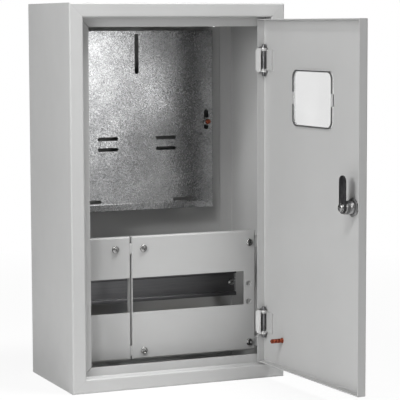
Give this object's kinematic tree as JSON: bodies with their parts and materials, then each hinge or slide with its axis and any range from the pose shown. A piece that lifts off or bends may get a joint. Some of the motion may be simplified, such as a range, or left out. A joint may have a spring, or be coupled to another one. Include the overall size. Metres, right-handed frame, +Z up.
{
  "type": "electric meter box",
  "caption": "Wall-mounted steel electric meter box with a hinged, lockable door, a viewing window, a slotted meter plate and a covered rail for modular devices.",
  "frame": {"origin": "middle of the four wall holes, on the outer face of the back panel", "axes": "+Z up, +Y back into the wall, +X to the right seen from the front; the front faces -Y and the door hangs on the right"},
  "size_m": [0.3, 0.416, 0.5],
  "materials": {
    "case_paint": "light grey powder coat, fine orange peel, semi-matt",
    "galvanised_steel": "galvanised sheet with fine spangle, uncoated",
    "zinc_plate": "bright zinc plating",
    "spring_steel": "dark spring steel",
    "copper_plate": "copper-plated steel stud",
    "brass": "plain brass bar",
    "blue_insulator": "moulded blue plastic",
    "clear_pane": "clear moulded plastic",
    "lock_casting": "nickel-plated zinc casting",
    "lock_core": "nickel-plated lock core",
    "dark_cam": "dark passivated steel"
  },
  "bodies": {
    "case": {"enclosure_shell": "case_paint", "back_panel": "case_paint", "cover_support_upper": "case_paint", "cover_support_lower": "case_paint", "left_cover": "case_paint", "right_cover": "case_paint", "hinge_bracket_upper": "case_paint", "hinge_bracket_lower": "case_paint", "meter_plate": "galvanised_steel", "din_rail": "galvanised_steel", "rail_bracket_left": "galvanised_steel", "rail_bracket_right": "galvanised_steel", "plate_washers": "zinc_plate", "plate_nuts": "zinc_plate", "rail_screws": "zinc_plate", "cover_screws": "zinc_plate", "case_earth_nuts": "zinc_plate", "hinge_pins": "zinc_plate", "earth_bar_posts": "zinc_plate", "pin_clips": "spring_steel", "plate_studs": "copper_plate", "case_earth_stud": "copper_plate", "neutral_bar": "brass", "earth_bar": "brass", "neutral_bar_screws": "zinc_plate", "earth_bar_screws": "zinc_plate", "neutral_insulators": "blue_insulator"},
    "door": {"door_panel": "case_paint", "door_bracket_upper": "case_paint", "door_bracket_lower": "case_paint", "window_pane": "clear_pane", "lock_body": "lock_casting", "lock_washer": "zinc_plate", "lock_nut": "lock_casting", "door_earth_stud": "copper_plate"},
    "lock_core": {"lock_plug": "lock_core", "lock_cam": "dark_cam", "cam_washer": "zinc_plate", "cam_screw": "zinc_plate"}
  },
  "joints": [
    {"name": "door_hinge", "type": "hinge", "parent": "case", "child": "door", "pos_m": [0.1225, -0.1645, 0], "axis": [0, 0, 1], "range_deg": [-93, 17]},
    {"name": "lock_turn", "type": "hinge", "parent": "door", "child": "lock_core", "pos_m": [0.13966, -0.38691, 0], "axis": [0.9986, 0.0523, 0], "range_deg": [0, 90]}
  ]
}
